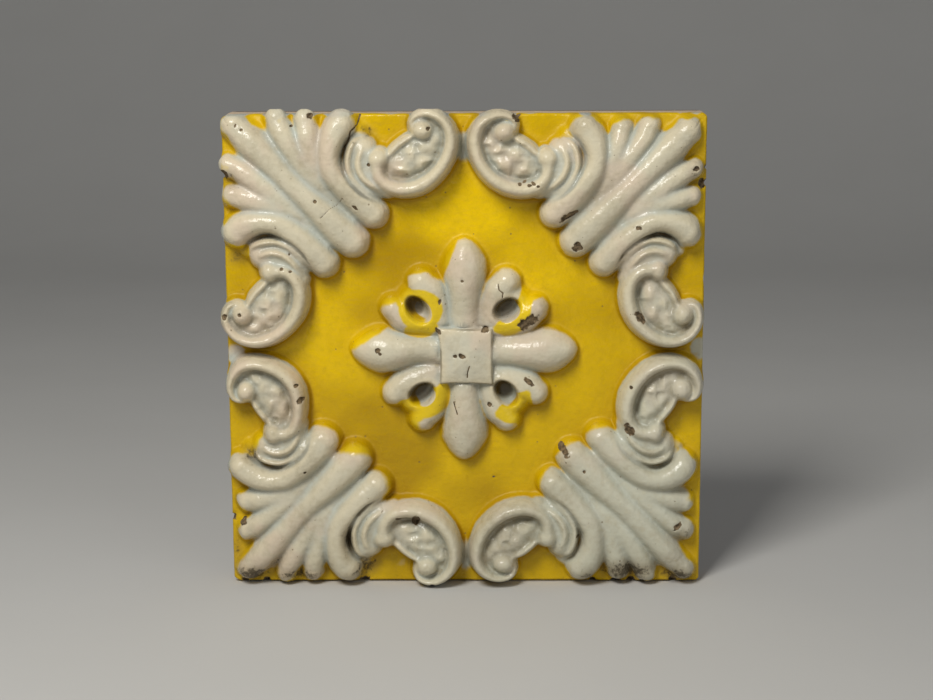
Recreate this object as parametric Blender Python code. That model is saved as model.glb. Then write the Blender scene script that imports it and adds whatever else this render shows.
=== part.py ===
"""Square relief wall tile in glazed earthenware.

One pressed piece: a slab with four mirrored corner ornaments (rib, leaf, two fingers and a
scroll) and a four-petalled flower on a raised square boss.

The tile stands upright. Its flat back lies in the plane y = 0 with the origin at its centre,
the face looks along -Y, +X is to the right and +Z is up.
"""

import bmesh
import bpy
import numpy as np

# Driving dimensions, in metres
TILE_SIDE = 0.140
SLAB_DEPTH = 0.0115
ARRIS = 0.0006
CORNER_RADII = {(-1, 1): 0.0023, (1, 1): 0.0015, (1, -1): 0.0013, (-1, -1): 0.0020}
CORNER_REACH = 0.006

# The ornament below is drawn in millimetres
MM = 0.001
HALF_SIDE = TILE_SIDE / 2 / MM

# Each stroke is a row of stations: distance along the tile's edge from the corner, distance in
# from that edge, half width at the ground, height of the crest above the ground.
# The eight copies are mirrored over the diagonals and the middle lines.
RIB = (
    (4.8, 4.8, 4.7, 5.8),
    (9.5, 9.5, 5.5, 7.3),
    (16.8, 16.8, 5.3, 8.0),
    (25.2, 25.2, 5.1, 8.3),
    (31.5, 31.5, 5.8, 8.3),
    (35.2, 35.2, 6.2, 7.9),
    (37.8, 37.8, 5.6, 7.6),
)
LEAF = (
    (43.8, 29.6, 5.1, 7.5),
    (42.0, 27.9, 5.5, 7.8),
    (39.4, 25.2, 5.6, 8.4),
    (35.7, 21.2, 5.3, 8.9),
    (32.5, 17.1, 4.8, 9.0),
    (31.6, 12.9, 4.4, 8.9),
    (32.2, 9.0, 4.9, 8.6),
    (33.6, 5.8, 5.4, 8.1),
    (34.9, 4.2, 5.5, 7.7),
)
LEAF_FLANK = (
    (35.2, 7.0, 5.2, 5.2),
    (37.6, 7.0, 4.6, 4.2),
    (39.8, 7.2, 3.6, 3.0),
)
FINGER_BY_RIB = (
    (16.3, 2.4, 3.9, 5.4),
    (18.0, 6.6, 4.3, 6.6),
    (21.8, 12.8, 4.5, 7.2),
    (25.2, 17.6, 4.0, 7.0),
    (28.4, 21.8, 3.0, 6.2),
    (31.0, 25.0, 2.0, 4.8),
)
FINGER_BY_LEAF = (
    (24.4, 2.4, 3.8, 5.4),
    (25.1, 6.6, 4.2, 6.6),
    (26.5, 12.9, 4.3, 7.1),
    (28.3, 18.0, 3.6, 6.8),
    (30.2, 22.0, 2.6, 6.0),
    (32.2, 25.2, 1.8, 4.6),
)
FAN_BED = (
    (21.0, 12.6, 7.0, 4.2),
    (27.3, 18.9, 7.8, 4.8),
    (33.0, 25.2, 6.8, 5.2),
    (37.0, 29.6, 4.8, 4.6),
)
SCROLL_HEAD = (
    (41.4, 11.5, 4.8, 6.4),
    (41.7, 15.7, 5.3, 6.8),
    (44.5, 19.9, 5.0, 6.8),
    (48.4, 22.1, 3.9, 6.2),
)
OUTER_CRESCENT = (
    (41.4, 7.8, 1.2, 4.6),
    (39.0, 8.9, 1.6, 6.6),
    (37.5, 12.0, 2.1, 7.4),
    (37.3, 16.2, 2.1, 7.6),
    (39.4, 20.0, 2.0, 7.4),
    (42.6, 22.9, 1.8, 6.6),
    (46.2, 24.4, 1.4, 4.6),
)
INNER_CRESCENT = (
    (43.4, 9.8, 1.6, 5.6),
    (41.2, 11.5, 2.2, 7.2),
    (40.3, 14.8, 2.4, 8.0),
    (41.3, 18.3, 2.4, 8.2),
    (43.8, 21.0, 2.2, 7.8),
    (47.2, 23.0, 1.7, 6.2),
)
SCROLL_RIM = (
    (45.6, 15.4, 3.4, 8.4),
    (46.1, 18.6, 3.0, 8.5),
    (48.2, 21.2, 3.0, 8.7),
    (52.0, 22.6, 3.2, 8.9),
    (57.0, 22.0, 3.3, 9.1),
    (61.8, 19.2, 3.1, 9.2),
    (65.3, 14.8, 2.9, 9.2),
    (66.8, 9.6, 2.7, 9.1),
    (66.0, 5.2, 2.5, 8.8),
    (63.4, 2.3, 2.3, 8.5),
    (60.2, 1.2, 2.0, 8.1),
    (57.0, 1.9, 1.7, 7.4),
    (55.5, 3.9, 1.3, 6.6),
    (55.4, 5.9, 0.9, 5.6),
)
SCROLL_BEAD = ((45.6, 13.9, 4.0, 8.8), (46.1, 13.9, 4.0, 8.8))
VOLUTE_BALL = ((58.6, 6.0, 4.2, 8.9), (59.0, 6.1, 4.2, 8.9))
SHELL = (
    (50.1, 16.3, 5.2, 5.8),
    (55.0, 14.4, 7.2, 6.2),
    (59.2, 11.6, 7.0, 6.2),
    (62.0, 8.1, 5.4, 5.8),
    (61.6, 5.0, 3.9, 5.4),
)
SHELL_LIP = (
    (48.2, 13.6, 2.0, 6.2),
    (51.0, 11.0, 2.1, 6.9),
    (53.8, 8.9, 2.0, 6.9),
    (56.4, 7.6, 1.6, 6.4),
)
# Soft lumps inside the shell: place, radius and extra height
SHELL_LUMPS = (
    (52.6, 16.4, 3.2, 0.9),
    (55.2, 12.6, 3.0, 0.7),
    (58.6, 15.2, 3.2, 0.9),
    (60.0, 10.8, 2.8, 0.7),
    (63.0, 9.0, 2.4, 0.6),
)
# The bed under the fingers rises from nothing at the tile's edge
BED_HEIGHT = 3.8
BED_RISE = (1.5, 9.0)
BED_LIMITS = (31.5, 15.0)

# The flower is drawn from the tile's centre: distance along the petal, half width, height
PETAL = (
    (0.0, 6.0, 6.2),
    (7.0, 6.0, 6.2),
    (10.9, 5.9, 6.2),
    (14.0, 5.8, 6.6),
    (17.5, 6.2, 7.1),
    (21.0, 6.9, 7.4),
    (23.8, 7.3, 7.4),
    (26.6, 7.0, 7.0),
    (29.1, 5.7, 6.3),
    (31.1, 4.2, 5.2),
    (32.5, 2.7, 3.8),
    (33.3, 1.0, 2.2),
)
# Lobes beside each eyelet: distance along the petal, distance from it, half width, height
LOBE = (
    (9.0, 7.6, 4.6, 5.4),
    (14.0, 8.6, 5.0, 5.8),
    (17.6, 10.2, 5.3, 6.3),
    (20.3, 12.3, 4.7, 6.1),
)
LOBE_WEB = (12.6, 11.8, 8.6, 5.2)
EYELET_PLACE = (12.5, 12.6)
EYELET_TURN = np.radians(34)
EYELET_CREST = (4.9, 3.4)
EYELET_COLLAR = (2.6, 5.8)
EYELET_OPEN = 0.3
EYELET_FLOOR = 0.5
BOSS_PLACE = (0.5, -1.2)
BOSS_HALF = (7.9, 8.4)
BOSS_LEAN = 0.052
BOSS_HOLLOW = 0.35
BOSS_EDGE_HEIGHT = 6.9
BOSS_PEAK = 8.4
BOSS_GROOVE = 0.8

# The pressed copies strayed from the drawing: the whole pattern's shift, then moves round places:
# x, z, reach, move in x, move in z
SHIFT = (-0.2, 1.1)
DRIFT = (
    (-11.0, 63.0, 26.0, -0.5, 0.7),
    (12.0, 63.0, 26.0, 0.6, 0.2),
    (-12.0, -66.0, 20.0, -0.5, -1.1),
    (13.0, -64.0, 20.0, 0.5, 0.0),
    (66.0, 2.0, 28.0, -0.6, 0.0),
    (-66.0, 66.0, 26.0, -0.8, 0.5),
    (66.0, 66.0, 26.0, -0.9, -1.4),
    (-66.0, -66.0, 26.0, 0.3, -0.8),
    (66.0, -66.0, 26.0, 0.3, -0.8),
    (-68.0, 10.0, 20.0, -0.5, 0.0),
    (-43.0, -18.0, 15.0, -1.6, 0.0),
    (-72.0, 49.0, 11.0, 0.9, 0.0),
    (38.0, 72.0, 20.0, 0.0, -1.7),
    (72.0, 36.0, 20.0, -1.6, 0.0),
    (72.0, -34.0, 20.0, -1.6, 0.0),
    (50.0, 72.0, 10.0, 0.0, -1.0),
    (72.0, 48.0, 16.0, -1.5, 0.0),
    (-72.0, -46.0, 14.0, 1.8, 0.0),
    (-45.0, -72.0, 18.0, 0.0, 0.7),
    (71.0, -52.0, 20.0, -1.9, 0.0),
    (46.0, -72.0, 20.0, 0.0, 0.9),
    (-13.0, 13.0, 12.0, -0.9, 0.0),
    (-13.0, 0.0, 9.0, 0.0, 0.8),
)

# Radii of the soft joins between forms, and of the join with the ground
SOFT_JOIN = 1.6
FIRM_JOIN = 0.5
SCROLL_JOIN = 0.7
CRISP_JOIN = 0.3
GROUND_JOIN = 0.8
BELOW = -20.0

# The relief may overhang the slab's sides where it is higher than this, by at most so much; the
# face's outer band is carried out with it, and below it the sides are straight from this depth
OVERHANG_FOOT = 3.0
OVERHANG_LIMIT = 1.8
OVERHANG_BAND = 5.0
UNDERCUT = 0.0025
OUTLINE_SLACK = 0.00015

# Density of the first grid, and the share of its faces that the finished tile keeps
GRID_CELLS = 240
KEPT_SHARE = 0.078
SPLINE_STEPS = 10


def spline(stations):
    """Catmull-Rom curve through the stations; widths and heights level out at both ends."""
    points = np.array(stations, float)
    first = np.concatenate([2 * points[0, :2] - points[1, :2], points[1, 2:]])
    last = np.concatenate([2 * points[-1, :2] - points[-2, :2], points[-2, 2:]])
    run = np.vstack([first, points, last])
    t = np.linspace(0, 1, SPLINE_STEPS, endpoint=False)[:, None]
    pieces = []
    for a, b, c, d in zip(run[:-3], run[1:-2], run[2:-1], run[3:]):
        straight = 2 * b + (c - a) * t
        bend = (2 * a - 5 * b + 4 * c - d) * t**2 + (3 * b - a - 3 * c + d) * t**3
        pieces.append(0.5 * (straight + bend))
    pieces.append(points[-1:])
    return np.vstack(pieces)


def dome(share, fullness):
    """Cross-section of a stroke: 1 at the crest, 0 at the foot, fuller as fullness grows."""
    return 1 - (1 - fullness) * share**2 - fullness * share**4


def stroke(u, v, stations, fullness):
    """Height of one rounded stroke: its crest height times the dome of distance over width."""
    curve = spline(stations)
    reach = curve[:, 2].max() * 1.4
    low = curve[:, :2].min(axis=0) - reach
    high = curve[:, :2].max(axis=0) + reach
    near = (u > low[0]) & (u < high[0]) & (v > low[1]) & (v < high[1])
    x, y = u[near], v[near]
    nearest = np.full(x.shape, np.inf)
    width = np.ones(x.shape)
    crest = np.zeros(x.shape)
    for start, end in zip(curve[:-1], curve[1:]):
        way = end[:2] - start[:2]
        along = ((x - start[0]) * way[0] + (y - start[1]) * way[1]) / (way @ way)
        along = np.clip(along, 0, 1)
        gap = np.hypot(x - start[0] - along * way[0], y - start[1] - along * way[1])
        closer = gap < nearest
        nearest = np.where(closer, gap, nearest)
        width = np.where(closer, start[2] + along * (end[2] - start[2]), width)
        crest = np.where(closer, start[3] + along * (end[3] - start[3]), crest)
    height = np.full(u.shape, BELOW)
    height[near] = np.maximum(crest * dome(nearest / width, fullness), BELOW)
    return height


def join(heights, radius):
    """The highest of several surfaces, with a fillet of about this radius in each valley."""
    result = heights[0]
    for other in heights[1:]:
        share = np.clip(0.5 + 0.5 * (result - other) / radius, 0, 1)
        result = other + (result - other) * share + radius * share * (1 - share)
    return result


def eased(value, low, high):
    """0 below low, 1 above high, and a smooth step between."""
    share = np.clip((value - low) / (high - low), 0, 1)
    return share * share * (3 - 2 * share)


def fan(u, v):
    """Rib, leaf and fingers on one bed that rises from the tile's edge."""
    rising = BED_HEIGHT * eased(v, *BED_RISE)
    outer_bed = np.where((u < BED_LIMITS[0]) & (v < BED_LIMITS[1]), rising, BELOW)
    beds = [stroke(u, v, FAN_BED, 0.8), stroke(u, v, SCROLL_HEAD, 0.8), outer_bed]
    forms = (FINGER_BY_RIB, FINGER_BY_LEAF, LEAF_FLANK, RIB, LEAF)
    return join(beds + [stroke(u, v, form, 0.65) for form in forms], SOFT_JOIN)


def scroll(u, v):
    """The C-scroll: rim, bead and ball round a shallow lumpy shell, with fine crescents."""
    shell = stroke(u, v, SHELL, 0.8)
    for place_u, place_v, radius, rise in SHELL_LUMPS:
        share = np.clip(np.hypot(u - place_u, v - place_v) / radius, 0, 1)
        shell = np.where(shell > 0, shell + rise * (1 - share**2) ** 2, shell)
    broad = [stroke(u, v, form, 0.6) for form in (SCROLL_RIM, VOLUTE_BALL, SCROLL_BEAD)]
    fine = [stroke(u, v, form, 0.1) for form in (OUTER_CRESCENT, INNER_CRESCENT, SHELL_LIP)]
    return join([shell] + broad + fine, SCROLL_JOIN)


def petal(along, across):
    """A petal: domed across, its half width and height read along its length."""
    curve = spline([(s, 0.0, w, h) for s, w, h in PETAL])
    width = np.interp(along, curve[:, 0], curve[:, 2])
    crest = np.interp(along, curve[:, 0], curve[:, 3])
    height = crest * dome(across / width, 0.4)
    return np.where(along < PETAL[-1][0], np.maximum(height, BELOW), BELOW)


def boss(x, z):
    """The boss, a low pyramid on a leaning square with drawn-in sides, and the cut round it."""
    z = z - BOSS_PLACE[1]
    x = x - BOSS_PLACE[0] + BOSS_LEAN * z
    half_x, half_z = BOSS_HALF
    out_x = np.abs(x) - half_x + BOSS_HOLLOW * np.clip(1 - (z / half_z) ** 2, 0, 1)
    out_z = np.abs(z) - half_z + BOSS_HOLLOW * np.clip(1 - (x / half_x) ** 2, 0, 1)
    out = np.maximum(out_x, out_z)
    peak = BOSS_EDGE_HEIGHT - (BOSS_PEAK - BOSS_EDGE_HEIGHT) * out / half_x
    height = np.where(out < 0, peak, BOSS_EDGE_HEIGHT - 12 * out)
    cut = BOSS_EDGE_HEIGHT - 1.3 + 3 * np.abs(out - BOSS_GROOVE / 2)
    return np.maximum(height, BELOW), np.where(out < 2 * BOSS_GROOVE, cut, np.inf)


def eyelets(x, z):
    """The four blind eyelets, each turned a quarter from the last: collars, and pits to cut."""
    collar = np.full(x.shape, BELOW)
    pit = np.full(x.shape, np.inf)
    cos, sin = np.cos(EYELET_TURN), np.sin(EYELET_TURN)
    for quarter in range(4):
        out = (x - EYELET_PLACE[0]) * cos + (z - EYELET_PLACE[1]) * sin
        aside = (z - EYELET_PLACE[1]) * cos - (x - EYELET_PLACE[0]) * sin
        ring = np.hypot(out / EYELET_CREST[0], aside / EYELET_CREST[1])
        from_crest = (ring - 1) * sum(EYELET_CREST) / 2
        outer_side = eased(x + z, 2 * EYELET_PLACE[0] + 1, 2 * EYELET_PLACE[0] + 7)
        crest = EYELET_COLLAR[1] * (1 - EYELET_OPEN * outer_side)
        collar = np.maximum(collar, crest * dome(from_crest / EYELET_COLLAR[0], 0.0))
        inside = EYELET_FLOOR + (ring / 0.82) ** 4 * EYELET_COLLAR[1]
        pit = np.where(ring < 1, np.minimum(pit, inside), pit)
        x, z = z, -x
    return np.maximum(collar, BELOW), pit


def flower(x, z):
    """Petals, lobes and eyelets round the boss."""
    along = np.maximum(np.abs(x), np.abs(z))
    across = np.minimum(np.abs(x), np.abs(z))
    web_u, web_v, web_radius, web_height = LOBE_WEB
    web_share = np.hypot(along - web_u, across - web_v) / web_radius
    web = np.maximum(web_height * (1 - web_share**4), BELOW)
    collar, pit = eyelets(x, z)
    pads = join([stroke(along, across, LOBE, 0.6), collar, web], SOFT_JOIN)
    body = join([petal(along, across), pads], FIRM_JOIN)
    block, cut = boss(x, z)
    return join([np.minimum(np.minimum(body, pit), cut), block], CRISP_JOIN / 2)


def drawn_place(x, z):
    """The place in the regular drawing that was pressed at this place of the tile."""
    shift_x, shift_z = np.full(x.shape, SHIFT[0]), np.full(x.shape, SHIFT[1])
    for place_x, place_z, reach, move_x, move_z in DRIFT:
        share = np.clip(1 - ((x - place_x) ** 2 + (z - place_z) ** 2) / reach**2, 0, 1) ** 2
        shift_x += move_x * share
        shift_z += move_z * share
    return x - shift_x, z - shift_z


def relief(x, z):
    """Height of the face above the ground, in millimetres, at a place from the centre."""
    x, z = drawn_place(x, z)
    u = HALF_SIDE - np.minimum(np.abs(x), np.abs(z))
    v = HALF_SIDE - np.maximum(np.abs(x), np.abs(z))
    corner = join([fan(u, v), scroll(u, v)], CRISP_JOIN)
    height = join([np.zeros(x.shape), corner], GROUND_JOIN)
    return join([height, flower(x, z)], GROUND_JOIN)


def to_outline(x, z):
    """Pulls the square's corners in to their rounded outline, by a share that grows outwards."""
    half = TILE_SIDE / 2
    x, z = x.copy(), z.copy()
    for (side_x, side_z), radius in CORNER_RADII.items():
        dx = side_x * x - (half - CORNER_REACH)
        dz = side_z * z - (half - CORNER_REACH)
        inside = (dx > 0) & (dz > 0)
        longest = np.maximum(np.maximum(dx, dz), 1e-12)
        way_x, way_z = dx / longest, dz / longest
        centre = CORNER_REACH - radius
        reach_x = way_x * CORNER_REACH > centre
        in_arc = inside & reach_x & (way_z * CORNER_REACH > centre)
        a = way_x**2 + way_z**2
        b = -2 * centre * (way_x + way_z)
        c = 2 * centre**2 - radius**2
        arc = (-b + np.sqrt(np.maximum(b**2 - 4 * a * c, 0))) / (2 * a)
        share = np.where(in_arc, np.minimum(arc / CORNER_REACH, 1), 1.0)
        x = np.where(inside, side_x * (half - CORNER_REACH + dx * share), x)
        z = np.where(inside, side_z * (half - CORNER_REACH + dz * share), z)
    return x, z


def overhang(side_x, side_z, along):
    """How far the relief reaches out over one side of the slab, at places along it."""
    reach = np.zeros(along.shape)
    still_high = np.ones(along.shape, bool)
    for step in np.linspace(0, OVERHANG_LIMIT, 19):
        out = HALF_SIDE + step
        x = side_x * out + abs(side_z) * along
        z = side_z * out + abs(side_x) * along
        still_high &= relief(x, z) > OVERHANG_FOOT
        reach = np.where(still_high, step, reach)
    return reach * np.clip((HALF_SIDE - CORNER_REACH / MM - np.abs(along)) / 2, 0, 1)


def over_the_sides(x, z):
    """Carries the face's outer band out with the relief that overhangs the sides."""
    line = np.linspace(-HALF_SIDE, HALF_SIDE, 2 * GRID_CELLS + 1)
    moved_x, moved_z = x.copy(), z.copy()
    for side_x, side_z in ((1, 0), (-1, 0), (0, 1), (0, -1)):
        inset = HALF_SIDE - (x * side_x + z * side_z) / MM
        along = (x * abs(side_z) + z * abs(side_x)) / MM
        near = np.clip(1 - inset / OVERHANG_BAND, 0, 1) ** 2
        push = np.interp(along, line, overhang(side_x, side_z, line)) * near * MM
        moved_x += side_x * push
        moved_z += side_z * push
    return moved_x, moved_z


def arris_drop(x, z):
    """How far the face falls over its eased arris, in metres, by distance from the square edge."""
    inset = TILE_SIDE / 2 - np.maximum(np.abs(x), np.abs(z))
    return ARRIS * np.clip(1 - inset / ARRIS, 0, 1)


def coordinates(mesh):
    """The mesh's points as an array with a row for each."""
    flat = np.empty(len(mesh.vertices) * 3)
    mesh.vertices.foreach_get("co", flat)
    return flat.reshape(-1, 3)


def face_mesh():
    """The modelled face: a grid set to the relief, then thinned where it is nearly flat."""
    grid = bmesh.new()
    bmesh.ops.create_grid(grid, x_segments=GRID_CELLS, y_segments=GRID_CELLS, size=TILE_SIDE / 2)
    mesh = bpy.data.meshes.new("tile_face")
    grid.to_mesh(mesh)
    grid.free()
    square = coordinates(mesh)
    x, z = over_the_sides(*to_outline(square[:, 0], square[:, 1]))
    height = relief(x / MM, z / MM) * MM
    y = -(SLAB_DEPTH + height - arris_drop(square[:, 0], square[:, 1]))
    mesh.vertices.foreach_set("co", np.column_stack([x, y, z]).ravel())
    mesh.update()
    guide = bpy.data.objects.new("tile_face_guide", mesh)
    bpy.context.scene.collection.objects.link(guide)
    thin = guide.modifiers.new("thin", "DECIMATE")
    thin.ratio = KEPT_SHARE
    bpy.context.view_layer.update()
    kept = bpy.data.meshes.new_from_object(guide.evaluated_get(bpy.context.evaluated_depsgraph_get()))
    bpy.data.objects.remove(guide)
    return kept


def on_straight_side(place, tolerance):
    """A place with its x or z set on the nearest straight side, if it is this close outside it."""
    half = TILE_SIDE / 2
    straight = half - CORNER_REACH
    if abs(place.z) < straight and abs(place.x) < half + tolerance:
        place.x = np.copysign(half, place.x)
    if abs(place.x) < straight and abs(place.z) < half + tolerance:
        place.z = np.copysign(half, place.z)


def drawn_back(body, edges, depth, tolerance):
    """Carries an outline straight back to this depth, setting it on the sides within a tolerance."""
    made = bmesh.ops.extrude_edge_only(body, edges=edges)["geom"]
    for item in made:
        if isinstance(item, bmesh.types.BMVert):
            item.co.y = -depth
            on_straight_side(item.co, tolerance)
    return [item for item in made if isinstance(item, bmesh.types.BMEdge) and item.is_boundary]


def close_behind(mesh):
    """Tucks the overhanging outline back to the slab's sides, then closes them at the flat back."""
    body = bmesh.new()
    body.from_mesh(mesh)
    outline = [edge for edge in body.edges if edge.is_boundary]
    for vertex in {vertex for edge in outline for vertex in edge.verts}:
        on_straight_side(vertex.co, OUTLINE_SLACK)
    slab_edge = drawn_back(body, outline, SLAB_DEPTH - UNDERCUT, OVERHANG_LIMIT * 2 * MM)
    back_edges = drawn_back(body, slab_edge, 0.0, OUTLINE_SLACK)
    bmesh.ops.contextual_create(body, geom=back_edges)
    bmesh.ops.triangulate(body, faces=body.faces[:])
    bmesh.ops.recalc_face_normals(body, faces=body.faces[:])
    body.to_mesh(mesh)
    body.free()


def glazed_earthenware():
    """Warm white tin glaze, the colour of most of the relief."""
    material = bpy.data.materials.new("glazed_earthenware")
    material.use_nodes = True
    shader = material.node_tree.nodes["Principled BSDF"]
    shader.inputs["Base Color"].default_value = (0.62, 0.58, 0.48, 1.0)
    shader.inputs["Roughness"].default_value = 0.2
    shader.inputs["Metallic"].default_value = 0.0
    return material


def build_tile(collection):
    """The tile as one solid."""
    mesh = face_mesh()
    mesh.name = "relief_tile"
    close_behind(mesh)
    mesh.shade_smooth()
    mesh.set_sharp_from_angle(angle=np.radians(35))
    mesh.materials.append(glazed_earthenware())
    tile = bpy.data.objects.new("relief_tile", mesh)
    collection.objects.link(tile)


for old in list(bpy.data.objects):
    bpy.data.objects.remove(old)
parts = bpy.data.collections.new("relief_wall_tile")
bpy.context.scene.collection.children.link(parts)
build_tile(parts)
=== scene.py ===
"""Looks of the relief wall tile: white and yellow tin glaze over moulded earthenware.

The face is a height over the tile's ground, worked out in millimetres as a function of the place
(x to the right, z up, both from the tile's centre). The same function, with its chips and cracks,
also gives the fields that the glaze reads: where the yellow was brushed, where the clay is bare.
"""

import math

import bpy
import numpy as np
from mathutils import Euler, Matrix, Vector


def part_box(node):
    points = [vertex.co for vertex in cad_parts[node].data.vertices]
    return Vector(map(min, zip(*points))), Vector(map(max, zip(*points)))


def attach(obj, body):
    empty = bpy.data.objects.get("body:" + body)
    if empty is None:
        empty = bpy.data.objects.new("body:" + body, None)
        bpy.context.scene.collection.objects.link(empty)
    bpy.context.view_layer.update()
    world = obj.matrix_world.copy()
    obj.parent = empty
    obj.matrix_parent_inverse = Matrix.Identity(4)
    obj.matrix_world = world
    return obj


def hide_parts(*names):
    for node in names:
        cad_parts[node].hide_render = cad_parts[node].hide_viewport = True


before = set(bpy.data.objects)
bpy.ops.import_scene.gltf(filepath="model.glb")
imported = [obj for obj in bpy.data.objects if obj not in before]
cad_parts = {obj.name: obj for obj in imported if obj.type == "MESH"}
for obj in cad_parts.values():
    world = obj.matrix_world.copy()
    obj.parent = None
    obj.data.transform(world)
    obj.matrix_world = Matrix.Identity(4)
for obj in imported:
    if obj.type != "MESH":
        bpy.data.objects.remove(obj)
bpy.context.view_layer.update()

# The tile's sizes come from the frame; the ornament below is in millimetres
MM = 0.001
LOW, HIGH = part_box("relief_tile")
HALF_SIDE = 70.0
WHOLE_DEPTH = -LOW.y / MM
SLAB_DEPTH = 11.5
ARRIS = 0.6
CORNER_RADII = {(-1, 1): 2.3, (1, 1): 1.5, (1, -1): 1.3, (-1, -1): 2.0}
CORNER_REACH = 6.0

# Strokes: distance along the tile's edge from the corner, distance in from that edge, half width
# at the ground, height of the crest. The eight copies mirror over diagonals and middle lines.
RIB = (
    (4.8, 4.8, 4.7, 5.8),
    (9.5, 9.5, 5.5, 7.3),
    (16.8, 16.8, 5.3, 8.0),
    (25.2, 25.2, 5.1, 8.3),
    (31.5, 31.5, 5.8, 8.3),
    (35.2, 35.2, 6.2, 7.9),
    (37.8, 37.8, 5.6, 7.6),
)
LEAF = (
    (43.8, 29.6, 5.1, 7.5),
    (42.0, 27.9, 5.5, 7.8),
    (39.4, 25.2, 5.6, 8.4),
    (35.7, 21.2, 5.3, 8.9),
    (32.5, 17.1, 4.8, 9.0),
    (31.6, 12.9, 4.4, 8.9),
    (32.2, 9.0, 4.9, 8.6),
    (33.6, 5.8, 5.4, 8.1),
    (34.9, 4.2, 5.5, 7.7),
)
LEAF_FLANK = (
    (35.2, 7.0, 5.2, 5.2),
    (37.6, 7.0, 4.6, 4.2),
    (39.8, 7.2, 3.6, 3.0),
)
FINGER_BY_RIB = (
    (16.3, 2.4, 3.9, 5.4),
    (18.0, 6.6, 4.3, 6.6),
    (21.8, 12.8, 4.5, 7.2),
    (25.2, 17.6, 4.0, 7.0),
    (28.4, 21.8, 3.0, 6.2),
    (31.0, 25.0, 2.0, 4.8),
)
FINGER_BY_LEAF = (
    (24.4, 2.4, 3.8, 5.4),
    (25.1, 6.6, 4.2, 6.6),
    (26.5, 12.9, 4.3, 7.1),
    (28.3, 18.0, 3.6, 6.8),
    (30.2, 22.0, 2.6, 6.0),
    (32.2, 25.2, 1.8, 4.6),
)
FAN_BED = (
    (21.0, 12.6, 7.0, 4.2),
    (27.3, 18.9, 7.8, 4.8),
    (33.0, 25.2, 6.8, 5.2),
    (37.0, 29.6, 4.8, 4.6),
)
SCROLL_HEAD = (
    (41.4, 11.5, 4.8, 6.4),
    (41.7, 15.7, 5.3, 6.8),
    (44.5, 19.9, 5.0, 6.8),
    (48.4, 22.1, 3.9, 6.2),
)
OUTER_CRESCENT = (
    (41.4, 7.8, 1.2, 4.6),
    (39.0, 8.9, 1.6, 6.6),
    (37.5, 12.0, 2.1, 7.4),
    (37.3, 16.2, 2.1, 7.6),
    (39.4, 20.0, 2.0, 7.4),
    (42.6, 22.9, 1.8, 6.6),
    (46.2, 24.4, 1.4, 4.6),
)
INNER_CRESCENT = (
    (43.4, 9.8, 1.6, 5.6),
    (41.2, 11.5, 2.2, 7.2),
    (40.3, 14.8, 2.4, 8.0),
    (41.3, 18.3, 2.4, 8.2),
    (43.8, 21.0, 2.2, 7.8),
    (47.2, 23.0, 1.7, 6.2),
)
SCROLL_RIM = (
    (45.6, 15.4, 3.4, 8.4),
    (46.1, 18.6, 3.0, 8.5),
    (48.2, 21.2, 3.0, 8.7),
    (52.0, 22.6, 3.2, 8.9),
    (57.0, 22.0, 3.3, 9.1),
    (61.8, 19.2, 3.1, 9.2),
    (65.3, 14.8, 2.9, 9.2),
    (66.8, 9.6, 2.7, 9.1),
    (66.0, 5.2, 2.5, 8.8),
    (63.4, 2.3, 2.3, 8.5),
    (60.2, 1.2, 2.0, 8.1),
    (57.0, 1.9, 1.7, 7.4),
    (55.5, 3.9, 1.3, 6.6),
    (55.4, 5.9, 0.9, 5.6),
)
SCROLL_BEAD = ((45.6, 13.9, 4.0, 8.8), (46.1, 13.9, 4.0, 8.8))
VOLUTE_BALL = ((58.6, 6.0, 4.2, 8.9), (59.0, 6.1, 4.2, 8.9))
SHELL = (
    (50.1, 16.3, 5.2, 5.8),
    (55.0, 14.4, 7.2, 6.2),
    (59.2, 11.6, 7.0, 6.2),
    (62.0, 8.1, 5.4, 5.8),
    (61.6, 5.0, 3.9, 5.4),
)
SHELL_LIP = (
    (48.2, 13.6, 2.0, 6.2),
    (51.0, 11.0, 2.1, 6.9),
    (53.8, 8.9, 2.0, 6.9),
    (56.4, 7.6, 1.6, 6.4),
)
# Soft lumps inside the shell: place, radius and rise; and how far it is crumpled
SHELL_LUMPS = (
    (52.6, 16.4, 3.2, 0.9),
    (55.2, 12.6, 3.0, 0.7),
    (58.6, 15.2, 3.2, 0.9),
    (60.0, 10.8, 2.8, 0.7),
    (63.0, 9.0, 2.4, 0.6),
)
SHELL_CRUMPLE = 0.26
SHELL_CRUMPLE_SWELL = 3.2
SHELL_CREASE = 0.22
SHELL_CREASE_SWELL = 2.5
# The fold where a scroll slips under its leaf, cut this wide and deep, and how dark each copy's is with
# dirt and painted shade:
# side across, side up, and whether it lies by the left or right edge
FOLD = (
    (40.2, 5.6, 0.5, 0.4),
    (37.4, 8.0, 0.7, 0.9),
    (35.9, 11.6, 0.8, 1.3),
    (35.8, 15.8, 0.8, 1.3),
    (37.7, 20.2, 0.7, 1.2),
    (41.0, 23.8, 0.7, 0.9),
    (44.8, 26.0, 0.5, 0.4),
)
FOLD_DIRT_AND_SHADE = {
    (-1, 1, False): 0.6,
    (-1, 1, True): 0.65,
    (1, 1, False): 0.3,
    (1, 1, True): 1.0,
    (1, -1, False): 0.4,
    (1, -1, True): 0.2,
    (-1, -1, False): 1.0,
    (-1, -1, True): 0.4,
}
# The bed under the fingers rises from nothing at the tile's edge
BED_HEIGHT = 3.8
BED_RISE = (1.5, 9.0)
BED_LIMITS = (31.5, 15.0)

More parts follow.
